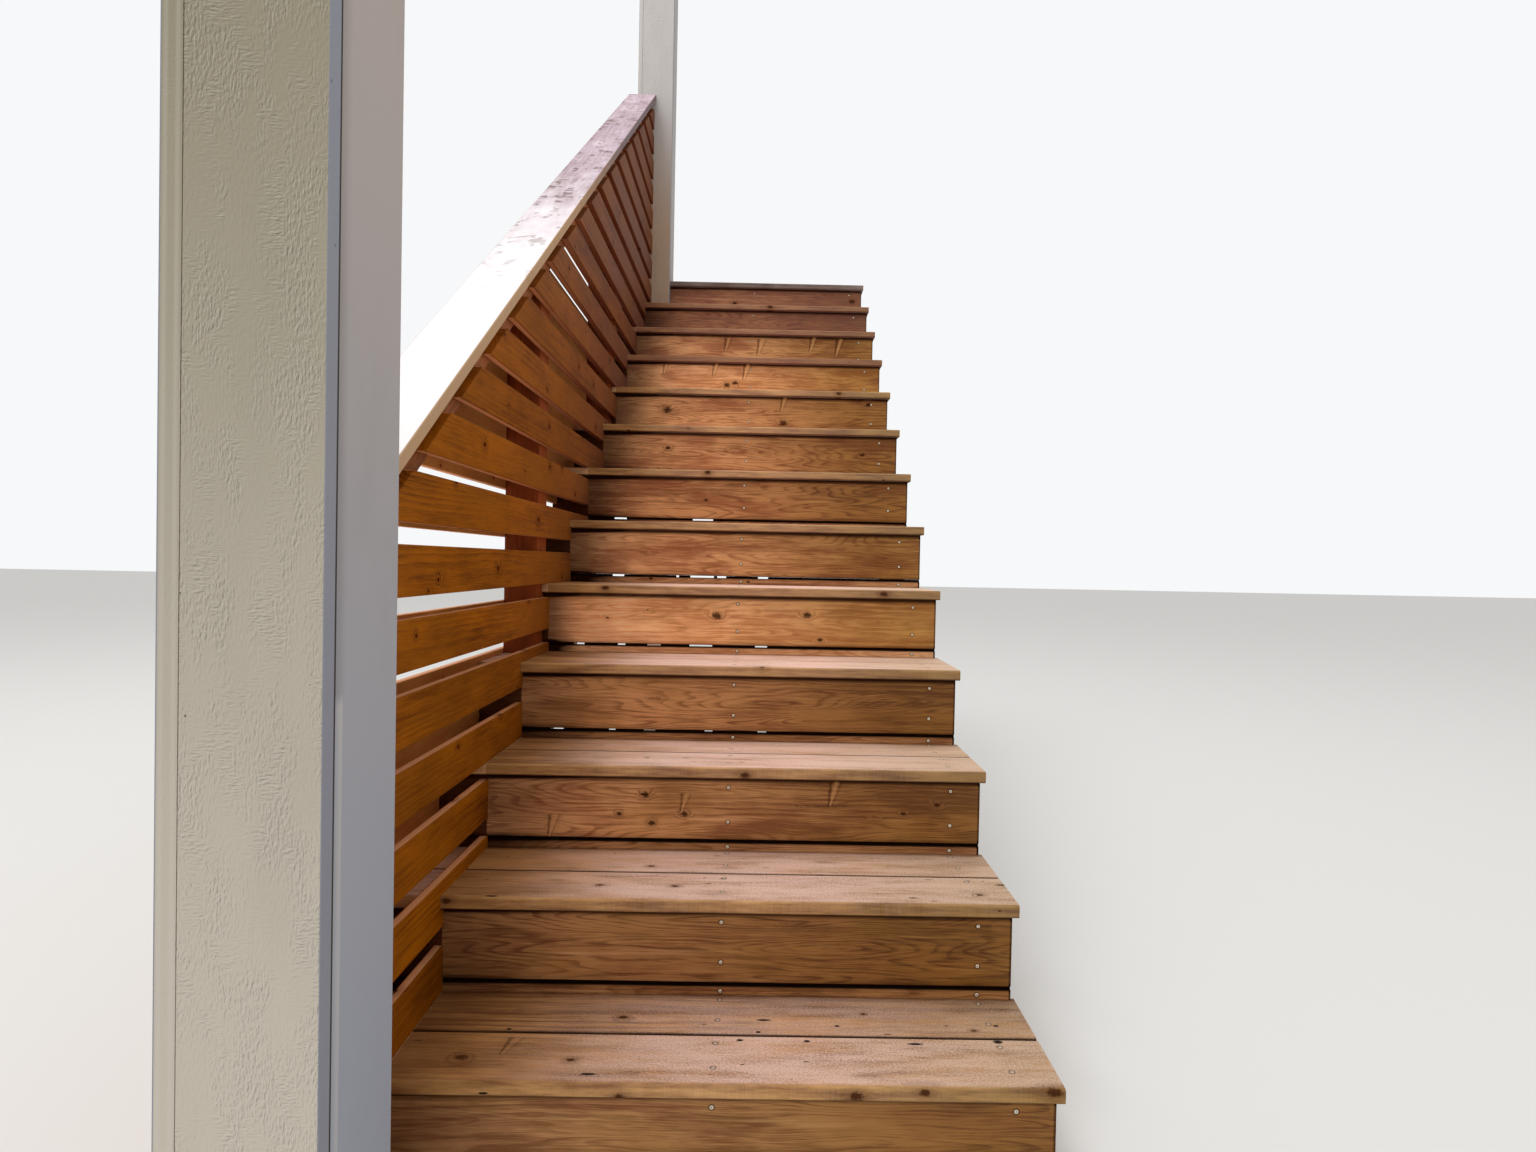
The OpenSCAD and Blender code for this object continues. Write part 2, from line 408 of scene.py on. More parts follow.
def lay_slats(face, low, pitch, seed):
    def lay(x, y, z):
        row = ((z - low) / pitch).floor()
        return y, z - low - row * pitch, x - face, row + seed
    return lay


def lay_upright(low, seed):
    return lambda x, y, z: (z, x - low[0], y - low[1], seed)


def lay_across(low, seed):
    return lambda x, y, z: (x, y - low[1], z - low[2], seed)


def lay_sloped(low, seed):
    def lay(x, y, z):
        run, up = y - low[1], z - low[2]
        along = run * math.cos(PITCH) + up * math.sin(PITCH)
        return along, x - low[0], up * math.cos(PITCH) - run * math.sin(PITCH), seed
    return lay


# Near black for deep marks and for the painted shade in the riser gaps; dark brown for dirt and painted
# shade in corners, joints and under edges; brown for lighter painted shade
BLACK_BROWN = srgb(24, 12, 8)
SHADE_AND_DIRT = srgb(40, 18, 12)
SHADE = srgb(104, 64, 34)
# The stain's tone high up the flight
HIGH_BROWN = srgb(130, 84, 76)


# Treads

TREAD_LOOK = look(srgb(194, 140, 84), srgb(112, 70, 36), srgb(70, 36, 18), figure=0.6, blotch=1.8,
                  streak=1.3, fibre=1.2, knots=0.08, halo=0.5, pale=0.15, ring=110.0)
TREAD_WORN = srgb(222, 186, 170)
NOSING_LIGHT = srgb(216, 164, 102)
NOSING_DARK = srgb(128, 80, 42)
# Tints of the wood towards the wall
TREAD_RIGHT = (0.78, 0.82, 0.72, 1.0)
NOSING_RIGHT = (0.75, 0.75, 0.65, 1.0)
# The first tread with the high stain
HIGH_TREAD = 10
# Flaws, mm from the middle stringer and from the nosing's top edge, down the face below 0
TREAD_FLAWS = {
    1: (("spike", -350, 98, 26), ("knot", -420, 64, 9), ("knot", -237, 60, 6), ("smear", -134, 27, 10),
        ("smear", 253, 30, 13), ("smear", 337, 10, 16), ("knot", 231, -16, 9), ("knot", 341, -8, 7),
        ("knot", -146, -22, 6), ("knot", 548, -4, 10), ("chip", 42, 125, 6), ("chip", 159, 125, 6),
        ("chip", 494, 131, 9), ("dent", 347, 121, 14), ("dent", -201, 23, 13), ("dent", -362, -19, 8),
        ("knot", -172, 193, 7), ("knot", 268, 215, 4), ("knot", 461, 165, 4), ("dent", 84, 190, 13),
        ("chip", 74, 151, 5), ("chip", -366, 149, 5), ("chip", 216, 174, 5), ("chip", 505, 182, 5)),
    2: (("knot", -242, 68, 5), ("knot", -95, 69, 6), ("smear", -334, 90, 11), ("smear", -12, 33, 15),
        ("knot", -519, -8, 7), ("dent", -436, 6, 13), ("dent", -2, 110, 8), ("dent", 369, 29, 10),
        ("knot", 503, 49, 5), ("dent", 498, 121, 6), ("smear", -226, 166, 8), ("knot", -156, 175, 5),
        ("smear", 8, 171, 12), ("smear", 209, 215, 12), ("dent", 564, 102, 16)),
    3: (("smear", -327, 10, 22), ("knot", 37, -16, 8), ("dent", -189, 77, 9), ("dent", -101, 83, 9)),
    5: (("knot", 408, -12, 8), ("knot", -371, -9, 8)),
    7: (("knot", -125, -8, 8),),
    9: (("knot", 360, -10, 8),),
    12: (("knot", 82, -10, 10),)}


def lay_tread(step):
    front, top = tread_corner(step)

    def lay(x, y, z):
        back_board = y.above(front + BOARD_W + TREAD_GAP / 2)
        return x, y - front - back_board * (BOARD_W + TREAD_GAP), z * -1.0 + top, back_board + 2.0 * step
    return lay


def tread_level(step):
    front, top = tread_corner(step)
    return lambda x, y, z: y - front + (z - top)


def dents(tree, spot, chance):
    """Short dark dents and splits that run with the grain."""
    off_along, off_across, here, big = scattered(tree, spot, 9.0, 22.0)
    long = (off_along / (big * 0.007 + 0.002)).size()
    thin = (off_across / 0.0017).size()
    return here.below(chance) * (long * long + thin * thin).fade(0.5, 1.4)


def countersinks(tree, spot, up, rows):
    """Dark rings round the screws, which stand in these rows."""
    off_x = off_up = spot.x * 0.0 + 1.0
    for x in SCREWED:
        off_x = off_x.calc("MINIMUM", (spot.x - x).size())
    for row in rows:
        off_up = off_up.calc("MINIMUM", (up - row).size())
    return (off_x * off_x + off_up * off_up).root().fade(0.004, 0.007) * 0.7


def nosing_colour(tree, spot, step):
    """The nosing's face, which feet don't wear: golden, and browner towards the wall."""
    gold = clouds(tree, spot.along * 7.0, spot.z * 60.0, float(step), 4.0, 0.65).ramp(0.3, 0.75)
    gold = mix(tree, gold, lighter(NOSING_LIGHT, 1.1 if step == 1 else 0.95), NOSING_DARK)
    return tinted(tree, gold, mix(tree, spot.x.ramp(0.0, 0.4), WHITE, NOSING_RIGHT))


def tread_wear_and_light(tree, spot, step, joint, grit):
    """How much paler a tread is: stain worn off by feet, painted sheen that grows up the flight, and
    painted light on the ends beyond the guard. The lowest tread and the back boards are worn less.
    """
    nearer, back_board = (0.0, -0.4) if step == 1 else (0.08, -0.15)
    scuff = clouds(tree, spot.along * 4.5, spot.across * 28.0, spot.number, 4.0, 0.68)
    trodden = spot.x.ramp(GUARD_FACE + 0.1 - nearer, GUARD_FACE + 0.5 - nearer)
    # Painted light on the ends beyond the guard's face
    trodden = (trodden + spot.x.below(GUARD_FACE) * 0.7) * (spot.y.above(joint) * back_board + 1.0)
    # The share grows up the flight as painted sheen
    wear_and_light = trodden * (scuff.ramp(0.15, 0.68) * 0.88 + (grit - 0.5) * 3.2 + 0.12 * (step - 1))
    return wear_and_light.clamped()


def finish_tread(step):
    """Worn pale where feet go, paler still up the flight as painted sheen; dirt and painted shade in the
    corner and the joint, the guard's painted shadow, and painted shade under the nosing.
    """
    front, top = tread_corner(step)
    joint = front + BOARD_W + TREAD_GAP / 2
    corner = riser_corner(step + 1)[0]
    guard_shade_depth = 0.6 if step == 1 else 0.4
    # The worn colour, lighter up the flight as painted sheen
    lightening = lighter(TREAD_WORN, 1.0 + 0.08 * max(1, min(step - 1, 4)))

    def finish(tree, spot, face):
        grit = clouds(tree, spot.x * 260.0, spot.y * 320.0, spot.number, 3.0, 0.85)
        dirt = clouds(tree, spot.x * 30.0, spot.y * 30.0, float(step), 3.0) * 0.6 + 0.5
        wear_and_light = tread_wear_and_light(tree, spot, step, joint, grit)
        face.colour = mix(tree, wear_and_light, face.colour, lightening)
        on_nosing = (spot.y - front).fade(0.002, 0.0075) * 0.85
        face.colour = mix(tree, on_nosing, face.colour, nosing_colour(tree, spot, step))
        face.colour = tinted(tree, face.colour, mix(tree, spot.x.ramp(0.1, 0.6), WHITE, TREAD_RIGHT))
        dent = dents(tree, spot, 0.16)
        cover_matt(tree, face, dent * 0.75, BLACK_BROWN)
        # Painted shade with some dirt in the corner against the riser above, and the guard's painted shadow
        # along the left end
        corner_shade_and_dirt = (spot.y - corner).size().fade(0.0, 0.016) * dirt * 0.7
        guard_shade = spot.x.fade(GUARD_FACE, GUARD_FACE + 0.2) * (spot.x.below(GUARD_FACE) * -1.0 + 1.0)
        cover_matt(tree, face, corner_shade_and_dirt + guard_shade * guard_shade_depth, SHADE)
        # Dirt and painted shade in the joint between the boards
        cover_matt(tree, face, (spot.y - joint).size().fade(0.002, 0.0055) * 0.92, SHADE_AND_DIRT)
        rows = [front + start + inset for start in (0.0, BOARD_W + TREAD_GAP) for inset in TREAD_INSETS]
        cover_matt(tree, face, countersinks(tree, spot, spot.y, rows), SHADE_AND_DIRT)
        # Painted shade under the nosing's rounded lower edge
        cover_matt(tree, face, spot.z.fade(top - 0.0245, top - 0.021) * 0.7, SHADE_AND_DIRT)
        if step >= HIGH_TREAD:
            cover_matt(tree, face, spot.y * 0.0 + 0.5, HIGH_BROWN)
        face.rough = face.rough + wear_and_light * 0.12
        face.height = face.height - dent * 0.6 + grit * 0.15
    return finish


for step in range(1, TREADS + 1):
    dress(f"tread_{step:02d}",
          wood(f"tread_wood_{step:02d}", TREAD_LOOK, lay_tread(step), finish_tread(step),
               TREAD_FLAWS.get(step, ()), tread_level(step)))


# Risers

# The stain's light and dark tones where it came out darkest, and where it came out palest
RISER_STAINS = (srgb(168, 116, 64), srgb(92, 54, 24)), (srgb(250, 198, 136), srgb(206, 142, 86))
OLIVE = srgb(150, 106, 48)
RUST = srgb(128, 66, 36)
RISER_KNOT = srgb(58, 28, 12)
RISER_END_SHADE = srgb(56, 22, 8)
# Pinker and paler towards the guard, as painted daylight; darker and more yellow towards the wall
RISER_DAYLIGHT = (1.65, 1.6, 1.9, 1.0)
RISER_RIGHT = (0.68, 0.6, 0.37, 1.0)
# How many of the lowest risers show less of the painted daylight, and how much of it they show
LOW_RISERS, LOW_DAYLIGHT = 2, 0.4
# The first riser with more rust than olive in its stain, and the first with the high stain
RUSTY_RISER, HIGH_RISER = 6, 12
# How pale each riser's stain came out, from the lowest one up
RISER_TONES = (0.25, 0.12, 0.24, 0.17, 0.88, 0.42, 0.2, 0.3, 0.36, 0.68, 0.45, 0.05, 0.15)
# Flaws of the riser boards, mm from the middle stringer and from the board's foot, on the strip below 0
RISER_FLAWS = {
    2: (("smear", 122, 114, 12),),
    3: (("spike", -389, 26, 26), ("knot", -241, 54, 5), ("knot", -184, 98, 7), ("spike", -98, 80, 22),
        ("knot", -97, 56, 6), ("knot", -168, 35, 6), ("spike", 232, 106, 28), ("line", 200, 79, 72),
        ("knot", 389, 65, 4), ("smear", 327, 55, 10), ("knot", 464, 86, 6)),
    4: (("smear", -200, 78, 14), ("smear", 495, 83, 9)),
    5: (("smear", -374, 76, 7), ("knot", -366, 72, 3), ("smear", -250, 90, 7), ("knot", -59, 83, 11),
        ("knot", 195, 90, 9), ("knot", -254, 96, 2), ("knot", 233, 21, 6), ("smear", -154, 47, 10)),
    6: (("smear", -284, 68, 12), ("smear", -138, 78, 12), ("smear", 308, 88, 12), ("knot", -280, -10, 5),
        ("knot", 23, -16, 4)),
    7: (("knot", -130, 65, 5), ("smear", 496, 77, 14)),
    8: (("knot", -292, 83, 7), ("knot", 430, 72, 8), ("smear", -43, 88, 24)),
    9: (("knot", -327, 79, 14), ("spike", 138, 110, 30), ("knot", 140, 35, 12), ("knot", 480, 116, 9),
        ("smear", -214, 42, 14)),
    10: (("spike", -153, 110, 30), ("spike", -20, 104, 36), ("knot", -100, 47, 10), ("knot", -66, 57, 9),
         ("spike", -369, 106, 24), ("smear", 128, 95, 14)),
    11: (("spike", -115, 95, 34), ("spike", 38, 86, 40), ("spike", 278, 103, 36), ("spike", 400, 94, 40)),
    13: (("knot", 511, 84, 12), ("knot", -101, 62, 10))}


def riser_level(step):
    board_foot = riser_corner(step)[1] + STRIP_H + RISER_GAP
    return lambda x, y, z: z - board_foot


def lay_riser(step):
    front, foot, _ = riser_corner(step)

    def lay(x, y, z):
        board = z.above(foot + STRIP_H + RISER_GAP / 2)
        return x, z - foot - board * (STRIP_H + RISER_GAP), y - front, board * 0.5 + (100.0 + step)
    return lay


def guard_shadow(step):
    """How dark the guard's shadow on a riser's left end is, and how far it reaches."""
    if step < 5:
        return 0.5, 0.26
    return 0.75, 0.1 if step == 5 else 0.2


def finish_riser(step):
    """Uneven stain; painted daylight towards the guard; dirt and painted shade along the gap; painted shade
    under the tread above, over the strip, from the guard, at the wall end and on the end beyond the guard.
    """
    _, foot, top = riser_corner(step)
    board_foot = foot + STRIP_H + RISER_GAP
    olive_share, rust_share = (0.35, 0.25) if step < RUSTY_RISER else (0.1, 0.5)
    left = between(WHITE, RISER_DAYLIGHT, LOW_DAYLIGHT if step <= LOW_RISERS else 1.0)
    strip_shade = 0.1 if step <= LOW_RISERS else 0.4
    shadow, reach = guard_shadow(step)

    def finish(tree, spot, face):
        pale = clouds(tree, spot.along * 3.0, spot.across * 70.0, spot.number, 3.0, 0.6).ramp(0.56, 0.72)
        face.colour = mix(tree, pale * 0.3, face.colour, RISER_STAINS[1][0])
        olive = clouds(tree, spot.x * 4.0, spot.z * 12.0, float(step) * 2.0, 3.0, 0.6)
        face.colour = mix(tree, olive.ramp(0.45, 0.62) * olive_share, face.colour, OLIVE)
        face.colour = mix(tree, olive.fade(0.36, 0.52) * rust_share, face.colour, RUST)
        rightward = spot.x.ramp(-0.4, 0.5) * spot.z.above(board_foot - RISER_GAP)
        face.colour = tinted(tree, face.colour, mix(tree, rightward, left, RISER_RIGHT))
        if step >= HIGH_RISER:
            face.colour = mix(tree, 0.5, face.colour, HIGH_BROWN)
        dirt = clouds(tree, spot.x * 18.0, spot.z * 40.0, float(step), 3.0) * 0.8 + 0.3
        # Painted shade: the nosing's shadow, the gap's edges with some dirt, the strip, the guard's shadow
        # on the left end and the gap at the wall
        nosing_shadow = spot.z.ramp(top - 0.016, top - 0.005) * 0.92
        gap_edge_shade = (spot.z - board_foot).size().fade(0.0, 0.015) * 0.6
        strip = spot.z.fade(board_foot - 0.005, board_foot - 0.003) * strip_shade
        left_end = spot.x.fade(GUARD_FACE, GUARD_FACE + reach) * shadow
        wall_gap_shade = spot.x.ramp(riser_high[0] - 0.006, riser_high[0] - 0.002) * 0.7
        cover_matt(tree, face, nosing_shadow + gap_edge_shade * dirt + strip + left_end + wall_gap_shade, SHADE_AND_DIRT)
        # Painted shade in the gap between the board and the strip, reaching onto their edges
        slot = (spot.z - (board_foot - RISER_GAP / 2)).size().fade(RISER_GAP / 2, RISER_GAP / 2 + 0.003)
        cover_matt(tree, face, slot * 0.95, BLACK_BROWN)
        # Painted deep shade on the end that runs on beyond the guard's face
        cover_matt(tree, face, spot.x.fade(GUARD_FACE - 0.004, GUARD_FACE) * 0.9, RISER_END_SHADE)
        rows = [foot + STRIP_H / 2] + [top - inset for inset in RISER_INSETS]
        cover_matt(tree, face, countersinks(tree, spot, spot.z, rows), SHADE_AND_DIRT)
    return finish


for step, tone in enumerate(RISER_TONES, 1):
    light, dark = (between(deep, pale, tone) for deep, pale in zip(*RISER_STAINS))
    stain = look(light, dark, RISER_KNOT, figure=0.5, blotch=2.4, streak=1.5, fibre=2.0, patch=1.4,
                 vein=0.5, knots=0.0, vary=0.1, rough=0.52, ring=110.0)
    dress(f"riser_{step:02d}",
          wood(f"riser_wood_{step:02d}", stain, lay_riser(step), finish_riser(step),
               RISER_FLAWS.get(step, ()), riser_level(step)))


# Guard

SLAT_EDGE_LIT = srgb(222, 160, 116)
SLAT_NEAR = srgb(206, 124, 40)
SLAT_FAR = srgb(100, 66, 58)
SLAT_SHADE = srgb(118, 62, 38)
SLAT_BROWN = srgb(128, 74, 10)
SLAT_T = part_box("guard_inner_slats")[1][0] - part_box("guard_inner_slats")[0][0]


def finish_slats(lit_edge_colour, far_share):
    """Darker further up the flight. The edges have a painted highlight between their eased corners, which
    turns to painted shade further up.
    """
    def finish(tree, spot, face):
        darker = spot.y.ramp(0.2, 2.4) * (spot.second * -0.5 + 1.1) * far_share
        face.colour = mix(tree, darker.clamped(), face.colour, SLAT_FAR)
        face.colour = mix(tree, spot.y.fade(-0.35, 0.2) * 0.35, face.colour, SLAT_NEAR)
        hue = clouds(tree, spot.along * 1.3, spot.number * 5.0, 0.0, 2.0)
        face.colour = mix(tree, hue.ramp(0.4, 0.65) * 0.4, face.colour, SLAT_BROWN)
        # Painted highlight on the edges between their eased corners, turning to painted shade further up
        lit_edge = (spot.across - SLAT_W / 2).size().ramp(SLAT_W / 2 - 0.0018, SLAT_W / 2 - 0.0008)
        middle = (spot.through.size() - SLAT_T / 2).size().fade(SLAT_T / 2 - 0.0035, SLAT_T / 2 - 0.002)
        edge = mix(tree, spot.y.ramp(0.5, 1.7), lit_edge_colour, SLAT_SHADE)
        face.colour = mix(tree, lit_edge * middle * 0.85, face.colour, edge)
    return finish


INNER_LOOK = look(srgb(164, 92, 4), srgb(82, 36, 1), srgb(58, 10, 1), figure=0.4, blotch=1.4, streak=0.7,
                  fibre=1.1, knots=0.75, vary=0.4, ring=120.0, gloss=0.06)
# The outer slats are coloured paler and more orange than the inner ones as painted daylight from outside
OUTER_LOOK = look(srgb(250, 182, 104), srgb(210, 132, 66), srgb(120, 54, 20), figure=0.1, knots=0.5,
                  ring=160.0, gloss=0.1)
dress("guard_inner_slats",
      wood("inner_slat_wood", INNER_LOOK, lay_slats(GUARD_FACE, INNER_LOW, INNER_PITCH, 300.0),
           finish_slats(SLAT_EDGE_LIT, 0.85)))
# A brighter painted highlight on the edges and less darkening further up: painted daylight from outside
dress("guard_outer_slats",
      wood("outer_slat_wood", OUTER_LOOK,
           lay_slats(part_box("guard_outer_slats")[0][0], OUTER_LOW, OUTER_PITCH, 400.0),
           finish_slats(lighter(SLAT_EDGE_LIT, 1.4), 0.25)))

CAP_CRACK = srgb(96, 62, 52)
CAP_LOOK = look(srgb(206, 186, 198), srgb(150, 124, 130), CAP_CRACK, blotch=1.4, knots=0.0)
CAP_SIDE = srgb(180, 134, 68)
CAP_SIDE_FAR = srgb(104, 82, 84)
CAP_SUNLIT = srgb(255, 250, 252)
CAP_LOW, CAP_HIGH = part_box("guard_cap_rail")
CAP_HALF = (CAP_HIGH[0] - CAP_LOW[0]) / 2


def finish_cap(tree, spot, face):
    """Painted sunlight on the top low down, with short cracks across the grain. The sides keep their brown.
    """
    # A painted patch of sunlight on the low part of the cap, with an uneven edge
    lightening = clouds(tree, spot.along * 5.0, spot.across * 12.0, 0.0, 4.0, 0.65)
    sunlit_patch = (spot.y.fade(0.3, 1.9) * 1.3 - 0.1 + (lightening - 0.5) * 1.6).clamped()
    face.colour = mix(tree, sunlit_patch, face.colour, CAP_SUNLIT)
    crack = clouds(tree, spot.along * 14.0, spot.across * 5.0, 0.0, 3.0, 0.6)
    crack = (crack - 0.5).size().fade(0.012, 0.04)
    crack = crack * clouds(tree, spot.along * 7.0, spot.across * 20.0, 5.0).ramp(0.5, 0.58)
    face.colour = mix(tree, crack * spot.y.ramp(0.2, 1.6) * 0.8, face.colour, CAP_CRACK)
    side = (spot.across - CAP_HALF).size().ramp(CAP_HALF - 0.003, CAP_HALF - 0.0015)
    brown = mix(tree, spot.y.ramp(1.0, 2.2), CAP_SIDE, CAP_SIDE_FAR)
    face.colour = mix(tree, side * 0.85, face.colour, brown)
    face.height = face.height - crack * 0.5


dress("guard_cap_rail", wood("cap_wood", CAP_LOOK, lay_sloped(CAP_LOW, 501.0), finish_cap))
RAIL_LOOK = look(srgb(180, 110, 62), srgb(110, 62, 32), srgb(56, 28, 14), gloss=0.15)
dress("guard_subrail", wood("subrail_wood", RAIL_LOOK, lay_sloped(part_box("guard_subrail")[0], 507.0)))
POST_LOOK = look(srgb(156, 76, 32), srgb(92, 40, 14), srgb(60, 24, 10), figure=0.3, gloss=0.1)
for number, at in enumerate(("foot", "lower", "upper", "head")):
    low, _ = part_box(f"guard_post_{at}")
    dress(f"guard_post_{at}",
          wood(f"guard_post_wood_{number}", POST_LOOK, lay_upright(low, 520.0 + number)))


# Frame

FRAME_LOOK = look(srgb(186, 142, 92), srgb(128, 88, 54), srgb(88, 54, 30), figure=0.3, rough=0.75)
for number, side in enumerate(("left", "middle", "right")):
    low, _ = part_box(f"stringer_{side}")
    dress(f"stringer_{side}",
          wood(f"stringer_wood_{number}", FRAME_LOOK, lay_sloped(low, 530.0 + number)))
for number, name in enumerate(("hanger_board", "rim_joist")):
    dress(name, wood(f"{name}_wood", FRAME_LOOK, lay_across(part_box(name)[0], 540.0 + number)))
EDGE_LOOK = look(srgb(150, 134, 126), srgb(92, 72, 62), srgb(60, 42, 34), figure=0.3, blotch=1.6,
                 rough=0.7)
dress("landing_edge_board",
      wood("landing_wood", EDGE_LOOK, lay_across(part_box("landing_edge_board")[0], 550.0)))
for name in ("foot_post_core", "head_post_core"):
    dress(name, wood(f"{name}_wood", FRAME_LOOK, lay_upright(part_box(name)[0], 560.0)))


# Painted casings

PAINT_SHADE = srgb(70, 66, 62)
PAINT_LIGHT = srgb(226, 220, 208)
# The side boards' back edge is rounded up to this height, with a painted highlight, and open behind above
# it, with painted shade
ROUNDED_TO = 0.85
# How far off the light comes from in the wrinkles' own light and shade, which the bump is too coarse for
LIT_OFFSET, LIT = 0.0007, 2.6


def wrinkles(tree, across, up):
    """Upright wrinkles of paint laid over rough-sawn wood, with level ones here and there."""
    upright = clouds(tree, across * 320.0, up * 110.0, 0.0, 1.5, 0.6)
    level = clouds(tree, across * 110.0, up * 320.0, 7.0, 1.5, 0.6)
    which = clouds(tree, across * 26.0, up * 18.0, 3.0, 1.0).ramp(0.52, 0.6)
    return upright + (level - upright) * which


def nail_holes(x, y, z, places):
    hole = x * 0.0
    for at_x, at_y, at_z in places:
        off_x, off_y, off_z = x - at_x, y - at_y, z - at_z
        off = (off_x * off_x + off_y * off_y + off_z * off_z).root()
        hole = hole.calc("MAXIMUM", off.fade(0.0008, 0.002))
    return hole


def joint_tones(on_side, behind, z):
    """Shade in the joint behind a side board, and light on the board's back edge where it is rounded."""
    above = z.ramp(ROUNDED_TO - 0.01, ROUNDED_TO + 0.01)
    open_joint = behind.above(0.0) * behind.fade(0.0, 0.03) * above * 0.3
    rounded = behind.ramp(0.002, 0.016) * behind.fade(0.018, 0.02) * (above * -1.0 + 1.0)
    return on_side * (open_joint + behind.size().fade(0.0012, 0.0026)), on_side * rounded * 0.3


def matt_paint(tree, shader, colour, relief, x, y, z):
    pits = clouds(tree, x * 300.0, y * 300.0, z * 90.0, 3.0, 0.68, 0.5)
    tree.links.new(colour.socket, shader.inputs["Base Color"])
    tree.links.new((pits * 0.2 + 0.55).socket, shader.inputs["Roughness"])
    shader.inputs["Specular IOR Level"].default_value = 0.25
    bump(tree, shader, relief + pits * 0.1, 0.0012)


def painted_boards(name, box, board_t, heights, front, side, edge, nails=()):
    """Rough-sawn front and back boards and smooth side boards with eased edges, all under matt paint.

    front and side each hold a colour for the lower and one for the upper of the two heights. The side and
    edge colours are the same paint as the front, coloured as painted skylight and shade on those faces.
    """
    material, tree, shader, (x, y, z) = new_material(name)
    (x0, y0, _), (x1, _, _) = box
    on_side = (x - (x0 + x1) / 2).size().ramp((x1 - x0) / 2 - 0.002, (x1 - x0) / 2 - 0.0005)
    on_front = on_side * -1.0 + 1.0
    behind = y - (y0 + board_t)
    strip = on_front * (x - (x0 + board_t)).fade(-0.0005, 0.0005)
    higher = z.ramp(*heights)
    colour = mix(tree, on_side, mix(tree, higher, *front), mix(tree, higher, *side))
    colour = mix(tree, on_side * behind.fade(-0.0008, 0.0008), colour, edge)
    field = clouds(tree, x * 20.0 + y * 20.0, z * 6.0, 0.0, 3.0, 0.6).ramp(0.4, 0.6, 0.2, 1.0)
    rough_sawn = on_front * field * (strip * -0.85 + 1.0) + on_side * 0.08
    relief = wrinkles(tree, x + y, z)
    lit = (wrinkles(tree, x + y + LIT_OFFSET, z - LIT_OFFSET) - relief) * rough_sawn * LIT
    joint, rounded = joint_tones(on_side, behind, z)
    dirt = clouds(tree, x * 7.0 + y * 7.0, z * 2.2, 3.0, 4.0, 0.6)
    # Painted shade on the wrinkles, in the joint behind the side board and in the nail holes, with some
    # real dirt
    shade = (lit * -1.0).clamped() + dirt.ramp(0.45, 0.8) * 0.08 + joint
    shade = shade + nail_holes(x, y, z, nails) * 0.8
    colour = mix(tree, shade.clamped(), colour, PAINT_SHADE)
    # Painted highlights on the wrinkles, the side board's rounded edge and the strip's eased corners
    corners = [(x - (x0 + inset)).size().fade(0.001, 0.004) for inset in (0.006, 0.02)]
    light = lit.clamped() + rounded + strip * (corners[0] + corners[1]) * 0.2
    colour = mix(tree, light.clamped(), colour, PAINT_LIGHT)
    matt_paint(tree, shader, colour, relief * rough_sawn, x, y, z)
    return material


foot_low, foot_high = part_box("foot_post_casing")
FOOT_NAILS = ((foot_low[0] + 0.034, foot_low[1], 0.835), (foot_low[0] + 0.027, foot_low[1], 0.975),
              (foot_high[0], foot_low[1] + 0.0156, 1.377), (foot_high[0], foot_low[1] + 0.003, 1.557))
# Lower and upper colours. The sides and the edge colours below are the same paint as the fronts, bluer and
# greyer as painted skylight and shade; the head post's front is darker and browner low down
FOOT_FRONT = srgb(211, 202, 188), srgb(161, 153, 130)
FOOT_SIDE = srgb(164, 170, 182), srgb(184, 173, 166)
HEAD_FRONT = srgb(184, 158, 133), srgb(192, 188, 186)
HEAD_SIDE = (srgb(176, 172, 170),) * 2
# How thick the casing's boards are, and the heights between which their colours change
FOOT_BOARD_T, HEAD_BOARD_T = 0.0254, 0.019
FOOT_HEIGHTS, HEAD_HEIGHTS = (0.3, 1.9), (2.6, 3.4)
dress("foot_post_casing",
      painted_boards("foot_paint", (foot_low, foot_high), FOOT_BOARD_T, FOOT_HEIGHTS, FOOT_FRONT,
                     FOOT_SIDE, srgb(146, 148, 160), FOOT_NAILS))
dress("head_post_casing",
      painted_boards("head_paint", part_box("head_post_casing"), HEAD_BOARD_T, HEAD_HEIGHTS, HEAD_FRONT,
                     HEAD_SIDE, srgb(162, 162, 166)))


# Screws

SCREW_R = 0.0036
SCREW_SIDES = 20
# A head from its countersunk foot to the floor of its recess: share of the radius, and height
SCREW_PROFILE = (0.5, -0.9 * SCREW_R), (1.0, 0.0001), (0.8, 0.0008), (0.32, 0.001), (0.28, 0.0)


def add_object(name, mesh, material):
    piece = bpy.data.objects.new(name, mesh)
    bpy.context.scene.collection.objects.link(piece)
    mesh.materials.append(material)
    return piece


def screw_mesh(name):
    """Crowned head with a round recess, its rim on z = 0 and its body below."""
    mesh = bpy.data.meshes.new(name)
    form = bmesh.new()
    turns = [math.tau * k / SCREW_SIDES for k in range(SCREW_SIDES)]
    rings = [[form.verts.new((SCREW_R * share * math.cos(turn), SCREW_R * share * math.sin(turn), z))
              for turn in turns] for share, z in SCREW_PROFILE]
    for outer, inner in zip(rings, rings[1:]):
        for k in range(SCREW_SIDES):
            form.faces.new((outer[k - 1], outer[k], inner[k], inner[k - 1]))
    form.faces.new(rings[-1])
    form.faces.new(list(reversed(rings[0])))
    bmesh.ops.recalc_face_normals(form, faces=form.faces)
    form.to_mesh(mesh)
    form.free()
    return mesh


